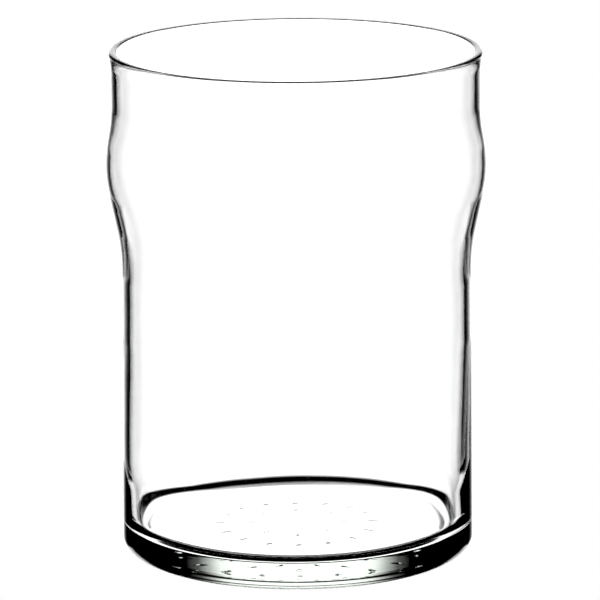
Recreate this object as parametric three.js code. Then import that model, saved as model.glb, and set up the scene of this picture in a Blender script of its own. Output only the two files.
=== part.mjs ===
// A nonic beer tumbler: one piece of clear soda-lime glass, blown in a mould and fire-polished at the rim.
// Millimetres, +Z up, origin at the middle of the face that it stands on.
import * as THREE from "three";

// Overall sizes.
const height = 112; // standing face to the top of the rim
const waistRadius = 38.42; // just under the bulge, the slimmest part of the body
const neckStep = 2.13; // the neck above the bulge is this much wider than the waist, at the radius
const bulgeProud = 1.3; // the crown of the bulge stands out this far past the neck
const baseFlare = 0.48; // the body widens by this much from the waist to the base

// Rim: a bead left by fire-polishing, a little proud of the neck outside.
const rimBead = 1.8; // thickness of the bead, a full round on top
const rimProud = 0.25; // how far it stands out past the neck
const rimRun = 2.2; // height over which the bead fades into the neck

// Heights of the bulge, from the rim down.
const crownDrop = 25.4; // rim to the middle of the crown
const upperFlank = 10.2; // middle of the crown up to where the flank meets the neck
const lowerFlank = 19; // middle of the crown down to where the flank meets the body
const crownCurve = 26; // radius of the crown's own arc, in section
const neckCurve = 26; // rounding where a flank meets the neck
const waistCurve = 45; // rounding where a flank meets the body

// Wall thicknesses, from the top down.
const neckWall = 1.5;
const crownWall = 1.1;
const bodyWall = 1.7;
const footWall = 2;
const heelWall = 3; // at the floor, before the rounding
const thickenTop = 48; // above this height the wall is bodyWall thick
const thickenFoot = 19; // here it is footWall thick, and it grows to heelWall at the floor
const thickenCurve = 90; // rounding at both of those heights

// Base.
const floorHeight = 5.5; // inside floor, at its edge
const floorDip = 0.2; // the floor's middle lies this much lower than its edge
const floorCurve = 4.2; // rounding between the wall and the floor
const heelCurve = 3.9; // rounding between the body and the standing face
const standWidth = 2; // width of the flat ring that it stands on
const puntDepth = 0.1; // hollow under the base, so that the glass doesn't rock
const puntRun = 8; // the hollow rises to its full depth over this distance

// What follows from those.
const neckRadius = waistRadius + neckStep;
const bulgeRadius = neckRadius + bulgeProud;
const baseRadius = waistRadius + baseFlare;
const crownHeight = height - crownDrop;
const neckHeight = crownHeight + upperFlank;
const waistHeight = crownHeight - lowerFlank;
const rimHeight = height - rimBead / 2; // centre of the bead

// Fineness of the faceted surface.
const sides = 60;
const arcStep = THREE.MathUtils.degToRad(6);
const roundStep = THREE.MathUtils.degToRad(22.5);

// A corner of an outline: its radius from the axis, its height, and the rounding it gets.
function corner(radius, z, rounding = 0, step = arcStep) {
  return { at: new THREE.Vector2(radius, z), rounding, step, atFlank: false };
}

// A corner where a flank of the bulge starts.
function flankCorner(radius, z, rounding) {
  return { ...corner(radius, z, rounding), atFlank: true };
}

// Points of an arc about a centre, from one point to another, both included, by the shorter way.
function arcPoints(centre, from, to, step) {
  const start = from.clone().sub(centre);
  const end = to.clone().sub(centre);
  const turn = Math.atan2(start.cross(end), start.dot(end));
  const count = Math.max(2, Math.ceil(Math.abs(turn) / step));
  const points = [];
  for (let i = 0; i <= count; i += 1) {
    points.push(from.clone().rotateAround(centre, (turn * i) / count));
  }
  return points;
}

// The directions from a corner to its neighbours, and half the angle between them.
function cornerSides(corners, i) {
  const before = corners[i - 1].at.clone().sub(corners[i].at).normalize();
  const after = corners[i + 1].at.clone().sub(corners[i].at).normalize();
  return { before, after, half: Math.acos(before.dot(after)) / 2 };
}

// How much of its sides a corner's rounding takes.
function roundingReach(corners, i) {
  return corners[i].rounding === 0 ? 0 : corners[i].rounding / Math.tan(cornerSides(corners, i).half);
}

// The same, for a corner at the foot of a flank, which gets no more than its neighbours leave of its sides.
function flankReach(corners, i) {
  const free = [i - 1, i + 1].map((j) => corners[j].at.distanceTo(corners[i].at) - roundingReach(corners, j));
  return Math.min(roundingReach(corners, i), ...free);
}

// An outline through the corners, each rounded by an arc that is tangent to both of its sides.
function roundedOutline(corners) {
  const points = [];
  corners.forEach(({ at, rounding, step, atFlank }, i) => {
    if (rounding === 0) {
      points.push(at);
      return;
    }
    const { before, after, half } = cornerSides(corners, i);
    const reach = atFlank ? flankReach(corners, i) : roundingReach(corners, i);
    const middle = before.clone().add(after).normalize();
    const centre = at.clone().addScaledVector(middle, reach / Math.cos(half));
    const from = at.clone().addScaledVector(before, reach);
    const to = at.clone().addScaledVector(after, reach);
    points.push(...arcPoints(centre, from, to, step));
  });
  return points;
}

// The sharp corner of the bulge: its flanks start at the neck and the waist and touch the crown's arc.
function crownCorner(neck, waist, radius, curve) {
  const centre = new THREE.Vector2(radius - curve, crownHeight);
  const flank = (end, side) => {
    const out = end.clone().sub(centre);
    const swing = Math.acos(curve / out.length());
    const touch = out.setLength(curve).rotateAround(new THREE.Vector2(), side * swing).add(centre);
    return { end, along: touch.sub(end) };
  };
  const upper = flank(neck, -1);
  const lower = flank(waist, 1);
  const gap = lower.end.clone().sub(upper.end);
  const reach = gap.cross(lower.along) / upper.along.cross(lower.along);
  const meet = upper.end.clone().addScaledVector(upper.along, reach);
  return corner(meet.x, meet.y, curve);
}

// Outer radius of the straight-sided body at a height.
function bodyRadius(z) {
  return THREE.MathUtils.mapLinear(z, 0, waistHeight, baseRadius, waistRadius);
}

// The outside, from the axis under the base up to the rim.
function outsideCorners() {
  const standInner = baseRadius - heelCurve - standWidth;
  const neck = flankCorner(neckRadius, neckHeight, neckCurve);
  const waist = flankCorner(waistRadius, waistHeight, waistCurve);
  return [
    corner(0, puntDepth),
    corner(standInner - puntRun, puntDepth),
    corner(standInner, 0),
    corner(bodyRadius(0), 0, heelCurve, roundStep),
    waist,
    crownCorner(neck.at, waist.at, bulgeRadius, crownCurve),
    neck,
    corner(neckRadius, rimHeight - rimRun),
  ];
}

// The inside, from the rim down to the axis on the floor.
function insideCorners() {
  const innerCurve = crownCurve - crownWall;
  const neck = flankCorner(neckRadius - neckWall, neckHeight, neckCurve);
  const waist = flankCorner(waistRadius - bodyWall, waistHeight, waistCurve);
  return [
    corner(neckRadius - neckWall, rimHeight - rimRun),
    neck,
    crownCorner(neck.at, waist.at, bulgeRadius - crownWall, innerCurve),
    waist,
    corner(bodyRadius(thickenTop) - bodyWall, thickenTop, thickenCurve),
    corner(bodyRadius(thickenFoot) - footWall, thickenFoot, thickenCurve),
    corner(bodyRadius(floorHeight) - heelWall, floorHeight, floorCurve, roundStep),
    corner(0, floorHeight - floorDip),
  ];
}

// The rounded top of the rim, from its outer side to its inner side.
function rimPoints() {
  const outer = new THREE.Vector2(neckRadius + rimProud, rimHeight);
  const inner = outer.clone().setX(outer.x - rimBead);
  const top = new THREE.Vector2(outer.x - rimBead / 2, height);
  const centre = top.clone().setY(outer.y);
  const outerHalf = arcPoints(centre, outer, top, roundStep);
  const innerHalf = arcPoints(centre, top, inner, roundStep);
  return [...outerHalf, ...innerHalf.slice(1)];
}

function glassTumbler() {
  const outline = [...roundedOutline(outsideCorners()), ...rimPoints(), ...roundedOutline(insideCorners())];
  const shape = new THREE.LatheGeometry(outline, sides);
  shape.rotateX(Math.PI / 2);
  const glass = new THREE.MeshStandardMaterial({
    color: 0xe9f2ef,
    roughness: 0.02,
    metalness: 0,
    transparent: true,
    opacity: 0.3,
  });
  const mesh = new THREE.Mesh(shape, glass);
  mesh.name = "glass_tumbler";
  return mesh;
}

const tumbler = new THREE.Group();
tumbler.add(glassTumbler());

export default tumbler;
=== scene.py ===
"""A stout nonic beer tumbler of clear glass, standing on a white table with one tall lit window behind it.

The glass is one body. A pen extrudes the straight runs of its outline and spins the arcs, and the outline is
then spun round the upright axis. The foot of the inside is moved a little off centre, small pits are pressed
into the underside, and the surfaces get the slow ripple of blown glass.
"""

import logging
import math
from dataclasses import dataclass, field
from enum import Enum
from typing import Callable

import bmesh
import bpy
from mathutils import Matrix, Vector


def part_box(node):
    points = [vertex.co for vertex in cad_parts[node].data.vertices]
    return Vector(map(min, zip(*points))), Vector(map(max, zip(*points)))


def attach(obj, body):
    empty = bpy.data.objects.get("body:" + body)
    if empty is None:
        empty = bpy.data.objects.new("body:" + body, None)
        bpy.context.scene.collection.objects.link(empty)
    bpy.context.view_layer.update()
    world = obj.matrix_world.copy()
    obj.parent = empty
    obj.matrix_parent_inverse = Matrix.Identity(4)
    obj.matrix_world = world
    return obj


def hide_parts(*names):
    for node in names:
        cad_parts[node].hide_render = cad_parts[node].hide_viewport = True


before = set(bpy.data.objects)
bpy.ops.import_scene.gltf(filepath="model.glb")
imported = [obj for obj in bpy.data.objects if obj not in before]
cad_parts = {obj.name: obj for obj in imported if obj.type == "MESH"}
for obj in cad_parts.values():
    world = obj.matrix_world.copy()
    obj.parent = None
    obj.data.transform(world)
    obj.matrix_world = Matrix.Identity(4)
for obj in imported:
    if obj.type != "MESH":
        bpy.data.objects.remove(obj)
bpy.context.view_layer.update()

MM = 0.001
TUMBLER_NODE = "glass_tumbler"
UP = (0.0, 0.0, 1.0)
ACROSS = (0.0, 1.0, 0.0)

log = logging.getLogger("tumbler")


class Element(Enum):
    """What is selected in edit mode."""

    VERT = "VERT"
    FACE = "FACE"


def deselect_all() -> None:
    """Leave object mode with nothing selected and nothing active."""
    if bpy.context.object is not None and bpy.context.object.mode != "OBJECT":
        bpy.ops.object.mode_set(mode="OBJECT")
    bpy.ops.object.select_all(action="DESELECT")
    bpy.context.view_layer.objects.active = None


def select_in_edit(
    obj: bpy.types.Object, test: Callable[[Vector], bool], kind: Element = Element.VERT
) -> int:
    """Select the shown vertices or faces whose middle passes a test, with the object in edit mode.

    Args:
        obj: The mesh object, already in edit mode.
        test: Takes the middle of an element, in metres, and says whether it is wanted.
        kind: What to select.

    Returns:
        How many elements are now selected.
    """
    bpy.ops.mesh.select_mode(type=kind.value)
    bpy.ops.mesh.select_all(action="DESELECT")
    mesh = bmesh.from_edit_mesh(obj.data)
    if kind is Element.VERT:
        chosen = [v for v in mesh.verts if not v.hide and test(v.co)]
    else:
        chosen = [f for f in mesh.faces if not f.hide and test(f.calc_center_median())]
    for element in chosen:
        element.select_set(True)
    mesh.select_flush_mode()
    bmesh.update_edit_mesh(obj.data)
    return len(chosen)


@dataclass(frozen=True)
class Corner:
    """A corner of an outline in the X-Z plane, in metres.

    Args:
        radius: Distance from the upright axis.
        height: Height above the standing face.
        rounding: Radius of the arc that takes the corner off.
    """

    radius: float
    height: float
    rounding: float = 0.0

    @property
    def at(self) -> Vector:
        """The corner as a 2D point."""
        return Vector((self.radius, self.height))


@dataclass
class OutlinePen:
    """Draws an open outline of edges in the X-Z plane, by extruding and spinning one vertex."""

    run_step: float = 1.2 * MM
    arc_step: float = 0.45 * MM
    least_arc_steps: int = 6
    spot: Vector = field(default_factory=lambda: Vector((0.0, 0.0)))

    def start(self, name: str, at: Vector) -> bpy.types.Object:
        """Put the pen down.

        Args:
            name: Name of the new object.
            at: The outline's first point, as radius and height.

        Returns:
            The object, in edit mode, with that one vertex selected.
        """
        deselect_all()
        bpy.ops.mesh.primitive_plane_add(size=MM, location=(0.0, 0.0, 0.0))
        sheet = bpy.context.object
        sheet.name = name
        sheet.data.name = name
        bpy.ops.object.mode_set(mode="EDIT")
        bpy.ops.mesh.select_mode(type="VERT")
        bpy.ops.mesh.select_all(action="SELECT")
        bpy.ops.mesh.merge(type="CENTER")
        bpy.ops.transform.translate(value=(at.x, 0.0, at.y))
        self.spot = at.copy()
        return sheet

    def line_to(self, to: Vector) -> None:
        """Extrude the pen's vertex along a straight run, in short steps."""
        run = to - self.spot
        steps = max(1, round(run.length / self.run_step))
        move = (run.x / steps, 0.0, run.y / steps)
        for _ in range(steps):
            bpy.ops.mesh.extrude_vertices_move(TRANSFORM_OT_translate={"value": move})
        self.spot = to.copy()

    def arc_to(self, to: Vector, centre: Vector) -> None:
        """Spin the pen's vertex about a centre by the shorter way.

        Args:
            to: Where the arc ends, at the same distance from the centre as the pen is.
            centre: The arc's centre.
        """
        start, end = self.spot - centre, to - centre
        angle = math.atan2(start.x * end.y - start.y * end.x, start.dot(end))
        steps = max(self.least_arc_steps, round(abs(angle) * start.length / self.arc_step))
        bpy.ops.mesh.spin(steps=steps, angle=angle, center=(centre.x, 0.0, centre.y), axis=ACROSS)
        self.spot = to.copy()

    def through(self, corners: list[Corner]) -> None:
        """Draw on through a row of corners, each rounded by an arc tangent to both of its sides.

        Args:
            corners: The corners in order. The first only gives the direction, and the last is the end.
        """
        for before, here, after in zip(corners, corners[1:], corners[2:]):
            if here.rounding <= 0.0:
                self.line_to(here.at)
                continue
            back = (before.at - here.at).normalized()
            on = (after.at - here.at).normalized()
            half = back.angle(on) / 2
            reach = here.rounding / math.tan(half)
            centre = here.at + (back + on).normalized() * (here.rounding / math.sin(half))
            self.line_to(here.at + back * reach)
            self.arc_to(here.at + on * reach, centre)
        self.line_to(corners[-1].at)


@dataclass(frozen=True)
class ClearGlass:
    """Soda-lime glass: clear, with a faint grey-green depth and the slightest smear on its surface."""

    slot: str = "clear_glass"
    ior: float = 1.52
    depth_tint: tuple[float, float, float] = (0.76, 0.80, 0.76)
    depth_density: float = 20.0
    smear_scale: float = 60.0
    smear_detail: float = 4.0
    smear_starts: float = 0.55
    smear_full: float = 0.8
    least_roughness: float = 0.0
    most_roughness: float = 0.02

    def material(self) -> bpy.types.Material:
        """Make the finish as a node material on Object coordinates.

        Returns:
            The material.
        """
        made = bpy.data.materials.new(self.slot)
        made.use_nodes = True
        nodes, links = made.node_tree.nodes, made.node_tree.links
        nodes.clear()
        output = nodes.new("ShaderNodeOutputMaterial")
        glass = nodes.new("ShaderNodeBsdfPrincipled")
        glass.inputs["Base Color"].default_value = (1.0, 1.0, 1.0, 1.0)
        glass.inputs["Transmission Weight"].default_value = 1.0
        glass.inputs["IOR"].default_value = self.ior
        links.new(glass.outputs["BSDF"], output.inputs["Surface"])

        place = nodes.new("ShaderNodeTexCoord")
        smear = nodes.new("ShaderNodeTexNoise")
        smear.inputs["Scale"].default_value = self.smear_scale
        smear.inputs["Detail"].default_value = self.smear_detail
        links.new(place.outputs["Object"], smear.inputs["Vector"])
        spread = nodes.new("ShaderNodeMapRange")
        spread.inputs["From Min"].default_value = self.smear_starts
        spread.inputs["From Max"].default_value = self.smear_full
        spread.inputs["To Min"].default_value = self.least_roughness
        spread.inputs["To Max"].default_value = self.most_roughness
        links.new(smear.outputs["Fac"], spread.inputs["Value"])
        links.new(spread.outputs["Result"], glass.inputs["Roughness"])

        depth = nodes.new("ShaderNodeVolumeAbsorption")
        depth.inputs["Color"].default_value = (*self.depth_tint, 1.0)
        depth.inputs["Density"].default_value = self.depth_density
        links.new(depth.outputs["Volume"], output.inputs["Volume"])
        return made


@dataclass(frozen=True)
class DimpleRing:
    """A ring of small pits in the underside, which keep the glass from sticking to a wet table.

    Args:
        radius: Distance of the pits from the axis.
        every: One face in this many round the ring gets a pit.
    """

    radius: float
    every: int
    rim: float = 0.12 * MM
    depth: float = 0.14 * MM


@dataclass
class Tumbler:
    """The glass itself. Every size is in metres, and the overall ones come from the frame."""

    height: float
    bulge_radius: float
    finish: ClearGlass = field(default_factory=ClearGlass)
    bulge_proud: float = 1.3 * MM
    neck_step: float = 2.13 * MM
    base_flare: float = 0.48 * MM
    rim_bead: float = 1.8 * MM
    rim_proud: float = 0.25 * MM
    rim_run: float = 2.2 * MM
    crown_drop: float = 25.4 * MM
    upper_flank: float = 10.2 * MM
    lower_flank: float = 19.0 * MM
    crown_curve: float = 26.0 * MM
    neck_curve: float = 26.0 * MM
    waist_curve: float = 45.0 * MM
    inner_crown_curve: float = 25.0 * MM
    rim_curve: float = 3.0 * MM
    neck_wall: float = 1.5 * MM
    crown_wall: float = 1.1 * MM
    body_wall: float = 1.7 * MM
    foot_wall: float = 2.0 * MM
    heel_wall: float = 3.0 * MM
    thicken_top: float = 48.0 * MM
    thicken_foot: float = 19.0 * MM
    thicken_curve: float = 90.0 * MM
    core_shift: float = -0.4 * MM
    shift_reach: float = 40.0 * MM
    floor_height: float = 5.5 * MM
    floor_dip: float = 0.2 * MM
    floor_curve: float = 4.2 * MM
    heel_curve: float = 3.9 * MM
    stand_width: float = 2.0 * MM
    punt_depth: float = 0.1 * MM
    punt_run: float = 8.0 * MM
    punt_curve: float = 200.0 * MM
    stand_curve: float = 100.0 * MM
    segments: int = 192
    weld: float = 0.004 * MM
    ripple_size: float = 22.0 * MM
    ripple_height: float = 0.02 * MM
    dimples: tuple[DimpleRing, ...] = (
        DimpleRing(17.0 * MM, 12), DimpleRing(10.0 * MM, 24), DimpleRing(5.0 * MM, 32),
    )

    @property
    def neck_radius(self) -> float:
        """Outer radius of the neck."""
        return self.bulge_radius - self.bulge_proud

    @property
    def waist_radius(self) -> float:
        """Outer radius just under the bulge."""
        return self.neck_radius - self.neck_step

    @property
    def base_radius(self) -> float:
        """Outer radius at the heel."""
        return self.waist_radius + self.base_flare

    @property
    def crown_height(self) -> float:
        """Height of the middle of the bulge."""
        return self.height - self.crown_drop

    @property
    def waist_height(self) -> float:
        """Height where the bulge's lower flank meets the body."""
        return self.crown_height - self.lower_flank

    @property
    def rim_height(self) -> float:
        """Height of the middle of the rim's bead."""
        return self.height - self.rim_bead / 2

    def body_radius(self, height: float) -> float:
        """Outer radius of the straight-sided body at a height."""
        return self.base_radius + (self.waist_radius - self.base_radius) * height / self.waist_height

    def crown_corner(self, neck: Corner, waist: Corner, radius: float, curve: float) -> Corner:
        """Find where the two flanks of the bulge would meet, so that both touch the crown's arc.

        Args:
            neck: Where the upper flank starts.
            waist: Where the lower flank starts.
            radius: Largest radius of the crown.
            curve: Radius of the crown's arc in section.

        Returns:
            The sharp corner, with the arc as its rounding.
        """
        centre = Vector((radius - curve, self.crown_height))

        def along(end: Vector, side: int) -> Vector:
            """From a flank's end to the point where it touches the arc."""
            out = end - centre
            swing = side * math.acos(curve / out.length)
            touch = out.normalized() * curve
            turned = Vector((
                touch.x * math.cos(swing) - touch.y * math.sin(swing),
                touch.x * math.sin(swing) + touch.y * math.cos(swing),
            ))
            return centre + turned - end

        upper, lower = along(neck.at, -1), along(waist.at, 1)
        gap = waist.at - neck.at
        reach = gap.cross(lower) / upper.cross(lower)
        meet = neck.at + upper * reach
        return Corner(meet.x, meet.y, curve)

    def outside(self) -> list[Corner]:
        """Corners of the outside, from the middle of the base up to the foot of the rim's bead."""
        stand_inner = self.base_radius - self.heel_curve - self.stand_width
        neck = Corner(self.neck_radius, self.crown_height + self.upper_flank, self.neck_curve)
        waist = Corner(self.waist_radius, self.waist_height, self.waist_curve)
        return [
            Corner(0.0, self.punt_depth),
            Corner(stand_inner - self.punt_run, self.punt_depth, self.punt_curve),
            Corner(stand_inner, 0.0, self.stand_curve),
            Corner(self.body_radius(0.0), 0.0, self.heel_curve),
            waist,
            self.crown_corner(neck, waist, self.bulge_radius, self.crown_curve),
            neck,
            Corner(self.neck_radius, self.rim_height - self.rim_run, self.rim_curve),
            Corner(self.neck_radius + self.rim_proud, self.rim_height),
        ]

    def wall_corner(self, height: float, wall: float, rounding: float) -> Corner:
        """Find the corner of the inside at a height where the straight body's wall has a given thickness."""
        return Corner(self.body_radius(height) - wall, height, rounding)

    def inside(self) -> list[Corner]:
        """Corners of the inside, from the rim's bead down to the middle of the floor."""
        neck_inner = self.neck_radius - self.neck_wall
        neck = Corner(neck_inner, self.crown_height + self.upper_flank, self.neck_curve)
        waist = Corner(self.waist_radius - self.body_wall, self.waist_height, self.waist_curve)
        inner_crown = self.bulge_radius - self.crown_wall
        bead_inner = self.neck_radius + self.rim_proud - self.rim_bead
        return [
            Corner(bead_inner, self.rim_height),
            Corner(neck_inner, self.rim_height - self.rim_run),
            neck,
            self.crown_corner(neck, waist, inner_crown, self.inner_crown_curve),
            waist,
            self.wall_corner(self.thicken_top, self.body_wall, self.thicken_curve),
            self.wall_corner(self.thicken_foot, self.foot_wall, self.thicken_curve),
            self.wall_corner(self.floor_height, self.heel_wall, self.floor_curve),
            Corner(0.0, self.floor_height - self.floor_dip),
        ]

    def draw_outline(self) -> bpy.types.Object:
        """Draw the section of the glass as one open row of edges from axis to axis."""
        pen = OutlinePen()
        outside, inside = self.outside(), self.inside()
        body = pen.start("tumbler_glass", outside[0].at)
        pen.through(outside)
        top = Vector((outside[-1].radius - self.rim_bead / 2, self.height))
        centre = Vector((top.x, self.rim_height))
        pen.arc_to(top, centre)
        pen.arc_to(inside[0].at, centre)
        pen.through(inside)
        return body

    def is_inside(self, point: Vector) -> bool:
        """Whether a point of the surface belongs to the inside, below the rim's bead."""
        top = self.rim_height - 2 * self.rim_run
        foot = self.floor_height - self.floor_dip - self.weld
        return foot <= point.z <= top and math.hypot(point.x, point.y) < self.wall_middle(point.z)

    def wall_middle(self, height: float) -> float:
        """Radius of the middle of the wall at a height, on a row of straight lines down the flanks."""
        marks = [
            (0.0, self.base_radius - self.heel_curve / 2),
            (self.heel_curve, self.base_radius - self.body_wall / 2),
            (self.waist_height, self.waist_radius - self.body_wall / 2),
            (self.crown_height, self.bulge_radius - self.crown_wall / 2),
            (self.crown_height + self.upper_flank, self.neck_radius - self.neck_wall / 2),
            (self.height, self.neck_radius - self.neck_wall / 2),
        ]
        for (low, start), (high, end) in zip(marks, marks[1:]):
            if height <= high:
                return start + (end - start) * (height - low) / (high - low)
        return marks[-1][1]

    def shift_core(self, body: bpy.types.Object) -> None:
        """Move the foot of the inside a little off centre, so that the wall is thicker on one side."""
        picked = select_in_edit(body, self.is_inside)
        log.info("%s: %d points of the inside may move", body.name, picked)
        bpy.ops.mesh.hide(unselected=True)
        select_in_edit(body, lambda point: point.z < self.floor_height + self.floor_curve)
        bpy.ops.transform.translate(
            value=(self.core_shift, 0.0, 0.0), use_proportional_edit=True,
            proportional_edit_falloff="SMOOTH", proportional_size=self.shift_reach,
        )
        bpy.ops.mesh.reveal(select=False)

    def ripple(self, body: bpy.types.Object) -> None:
        """Give both surfaces the slow ripple of blown glass."""
        clouds = bpy.data.textures.new("blown_ripple", type="CLOUDS")
        clouds.noise_scale = self.ripple_size
        bpy.ops.object.modifier_add(type="DISPLACE")
        waves = body.modifiers[-1]
        waves.texture = clouds
        waves.texture_coords = "LOCAL"
        waves.strength = self.ripple_height
        bpy.ops.object.modifier_apply(modifier=waves.name)

    def dent(self, body: bpy.types.Object, ring: DimpleRing) -> None:
        """Press one ring of pits into the underside.

        Args:
            body: The glass, in edit mode.
            ring: Where the pits go and how deep.
        """
        step = math.tau / self.segments

        def in_ring(point: Vector) -> bool:
            """Whether a face's middle lies on the ring, at a place that gets a pit."""
            place = math.floor((math.atan2(point.y, point.x) + math.pi) / step)
            near = abs(math.hypot(point.x, point.y) - ring.radius) < OutlinePen.run_step / 2
            return near and point.z < self.floor_height / 2 and place % ring.every == 0

        picked = select_in_edit(body, in_ring, Element.FACE)
        bpy.ops.mesh.inset(thickness=ring.rim, depth=0.0, use_individual=True)
        bpy.ops.transform.translate(value=(0.0, 0.0, ring.depth))
        log.info("%s: %d pits at %.0f mm from the axis", body.name, picked, ring.radius / MM)

    def build(self) -> bpy.types.Object:
        """Model the glass and dress it.

        Returns:
            The finished piece, with its object at the origin.
        """
        body = self.draw_outline()
        bpy.ops.mesh.select_all(action="SELECT")
        bpy.ops.mesh.spin(steps=self.segments, angle=math.tau, center=(0.0, 0.0, 0.0), axis=UP)
        bpy.ops.mesh.select_all(action="SELECT")
        bpy.ops.mesh.remove_doubles(threshold=self.weld)
        bpy.ops.mesh.normals_make_consistent(inside=False)
        self.shift_core(body)
        for ring in self.dimples:
            self.dent(body, ring)
        bpy.ops.mesh.select_all(action="SELECT")
        bpy.ops.mesh.faces_shade_smooth()
        bpy.ops.object.mode_set(mode="OBJECT")
        self.ripple(body)
        body.data.materials.append(self.finish.material())
        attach(body, "root")
        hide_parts(TUMBLER_NODE)
        return body


def grey(bright: float) -> tuple[float, float, float, float]:
    """Make an opaque grey of a given brightness."""
    return (bright, bright, bright, 1.0)


@dataclass
class Studio:
    """The set: a white table, and one tall lit window behind the glass, on the camera's own stand.

    The glass sees neither the table nor the white room, only the window, and is dark where it misses it.
    The window's sides and foot fade out softly, and above its foot it is narrower, as if black cards hung
    over its sides. Each row of stops pairs a distance on the window, in metres, with the value there.
    """

    glow: float = 1.0
    table_size: float = 8.0
    window_glow: float = 1.7
    window_distance: float = 1.0
    window_side: float = 0.95
    window_foot: float = -0.7
    window_top: float = 1.9
    card_width: float = 0.32
    fade_across: tuple[tuple[float, float], ...] = (
        (0.0, 1.0), (0.22, 1.0), (0.3, 0.85), (0.355, 0.42), (0.42, 0.08), (0.5, 0.0)
    )
    fade_up: tuple[tuple[float, float], ...] = ((-0.58, 0.0), (-0.53, 0.3), (-0.46, 1.0), (1.9, 1.0))
    card_up: tuple[tuple[float, float], ...] = ((-0.7, 1.0), (-0.24, 1.0), (-0.19, 0.0), (1.9, 0.0))

    def lit(self, name: str, strength: float) -> bpy.types.Material:
        """Make a plain white glow.

        Args:
            name: Name of the material.
            strength: How bright it is, where 1 shows as white.

        Returns:
            The material.
        """
        made = bpy.data.materials.new(name)
        made.use_nodes = True
        nodes, links = made.node_tree.nodes, made.node_tree.links
        nodes.clear()
        output = nodes.new("ShaderNodeOutputMaterial")
        glow = nodes.new("ShaderNodeEmission")
        glow.inputs["Strength"].default_value = strength
        links.new(glow.outputs["Emission"], output.inputs["Surface"])
        return made

    def room(self) -> None:
        """Show the camera a white room, and the glass a dark one."""
        world = bpy.data.worlds.new("white_room")
        bpy.context.scene.world = world
        world.use_nodes = True
        world.node_tree.nodes["Background"].inputs["Color"].default_value = (1.0, 1.0, 1.0, 1.0)
        world.node_tree.nodes["Background"].inputs["Strength"].default_value = self.glow
        world.cycles_visibility.glossy = False
        world.cycles_visibility.transmission = False

    def table(self) -> bpy.types.Object:
        """Lay the white table under the glass."""
        deselect_all()
        bpy.ops.mesh.primitive_plane_add(size=self.table_size, location=(0.0, 0.0, 0.0))
        table = bpy.context.object
        table.name = "white_table"
        table.data.materials.append(self.lit("white_table", self.glow))
        table.visible_glossy = False
        table.visible_transmission = False
        return table

    def ramp(self, tree: bpy.types.NodeTree, along: bpy.types.NodeSocket,
             stops: tuple[tuple[float, float], ...]) -> bpy.types.NodeSocket:
        """Turn a distance into a brightness by a row of stops.

        Args:
            tree: The node tree to add to.
            along: The distance, in metres.
            stops: Pairs of a distance and the brightness there.

        Returns:
            The brightness.
        """
        low, high = stops[0][0], stops[-1][0]
        part = tree.nodes.new("ShaderNodeMapRange")
        part.inputs["From Min"].default_value = low
        part.inputs["From Max"].default_value = high
        tree.links.new(along, part.inputs["Value"])
        ramp = tree.nodes.new("ShaderNodeValToRGB")
        for at, bright in stops[1:-1]:
            ramp.color_ramp.elements.new((at - low) / (high - low)).color = grey(bright)
        ramp.color_ramp.elements[0].color = grey(stops[0][1])
        ramp.color_ramp.elements[-1].color = grey(stops[-1][1])
        tree.links.new(part.outputs["Result"], ramp.inputs["Fac"])
        return ramp.outputs["Color"]

    def math_node(self, tree: bpy.types.NodeTree, kind: str, first: bpy.types.NodeSocket,
                  second: bpy.types.NodeSocket | float) -> bpy.types.NodeSocket:
        """Add one math node.

        Args:
            tree: The node tree to add to.
            kind: The node's operation.
            first: Its first value.
            second: Its second value, as a socket or a number.

        Returns:
            The result.
        """
        node = tree.nodes.new("ShaderNodeMath")
        node.operation = kind
        tree.links.new(first, node.inputs[0])
        if isinstance(second, float):
            node.inputs[1].default_value = second
        else:
            tree.links.new(second, node.inputs[1])
        return node.outputs[0]

    def window_light(self) -> bpy.types.Material:
        """Light the window evenly in the middle, with soft sides and foot, and narrower above the foot.

        Returns:
            The material.
        """
        made = self.lit("lit_window", self.window_glow)
        tree = made.node_tree
        place = tree.nodes.new("ShaderNodeTexCoord")
        split = tree.nodes.new("ShaderNodeSeparateXYZ")
        tree.links.new(place.outputs["Object"], split.inputs["Vector"])
        across = self.math_node(tree, "ABSOLUTE", split.outputs["X"], 0.0)
        uncovered = self.ramp(tree, split.outputs["Y"], self.card_up)
        wider = self.math_node(tree, "MULTIPLY", uncovered, self.card_width)
        across = self.math_node(tree, "SUBTRACT", across, wider)
        sides = self.ramp(tree, across, self.fade_across)
        foot = self.ramp(tree, split.outputs["Y"], self.fade_up)
        both = self.math_node(tree, "MULTIPLY", sides, foot)
        power = self.math_node(tree, "MULTIPLY", both, self.window_glow)
        tree.links.new(power, tree.nodes["Emission"].inputs["Strength"])
        return made

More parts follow.
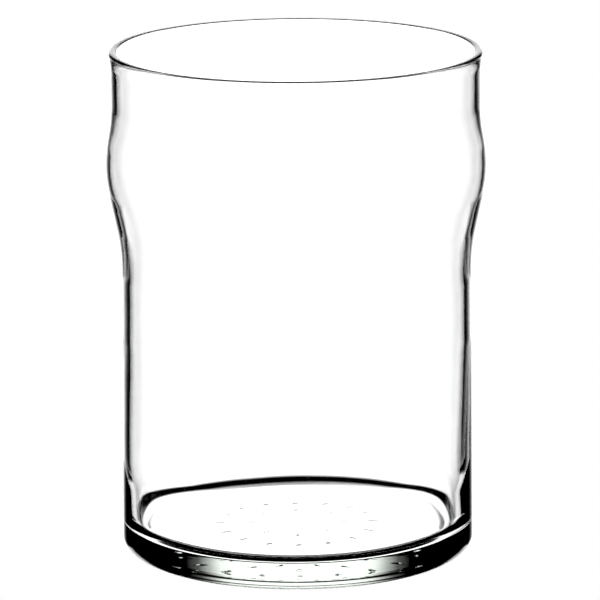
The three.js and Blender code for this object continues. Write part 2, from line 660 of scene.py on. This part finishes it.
    def window(self, camera: bpy.types.Object, reach: float) -> bpy.types.Object:
        """Hang the lit window behind the glass, on the camera's stand.

        Args:
            camera: The camera that it goes with.
            reach: Distance from the camera to the glass.

        Returns:
            The window.
        """
        deselect_all()
        bpy.ops.mesh.primitive_plane_add(size=1.0, location=(0.0, 0.0, 0.0))
        window = bpy.context.object
        window.name = "lit_window"
        for vertex in window.data.vertices:
            vertex.co.x = math.copysign(self.window_side, vertex.co.x)
            vertex.co.y = self.window_top if vertex.co.y > 0.0 else self.window_foot
        window.location.z = -reach - self.window_distance
        window.parent = camera
        window.visible_camera = False
        window.data.materials.append(self.window_light())
        return window


@dataclass
class ViewCamera:
    """A long lens that looks a little down on the glass. Angles are in degrees and distances in metres."""

    pitch: float = 12.63
    reach: float = 1.191
    aim: tuple[float, float, float] = (0.0007, 0.0, 0.056)
    roll: float = -0.29
    lens: float = 325.2

    def place(self) -> bpy.types.Object:
        """Put the camera on its stand and make it the scene's camera.

        Returns:
            The camera.
        """
        data = bpy.data.cameras.new("view_camera")
        data.lens = self.lens
        camera = bpy.data.objects.new("view_camera", data)
        bpy.context.scene.collection.objects.link(camera)
        pitch = math.radians(self.pitch)
        back = Vector((0.0, -math.cos(pitch), math.sin(pitch)))
        camera.location = Vector(self.aim) + back * self.reach
        tilt = Matrix.Rotation(math.pi / 2 - pitch, 3, "X")
        roll = Matrix.Rotation(math.radians(self.roll), 3, "Z")
        camera.rotation_euler = (tilt @ roll).to_euler()
        bpy.context.scene.camera = camera
        return camera


def main() -> None:
    """Build the camera, the set and the glass in order."""
    logging.basicConfig(level=logging.INFO, format="%(name)s: %(message)s")
    scene = bpy.context.scene
    scene.view_settings.view_transform = "Standard"
    view = ViewCamera()
    camera = view.place()
    studio = Studio()
    studio.room()
    studio.table()
    studio.window(camera, view.reach)
    low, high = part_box(TUMBLER_NODE)
    tumbler = Tumbler(height=high.z - low.z, bulge_radius=(high.x - low.x) / 2)
    body = tumbler.build()
    log.info("%s: %d faces", body.name, len(body.data.polygons))


if __name__ == "__main__":
    main()
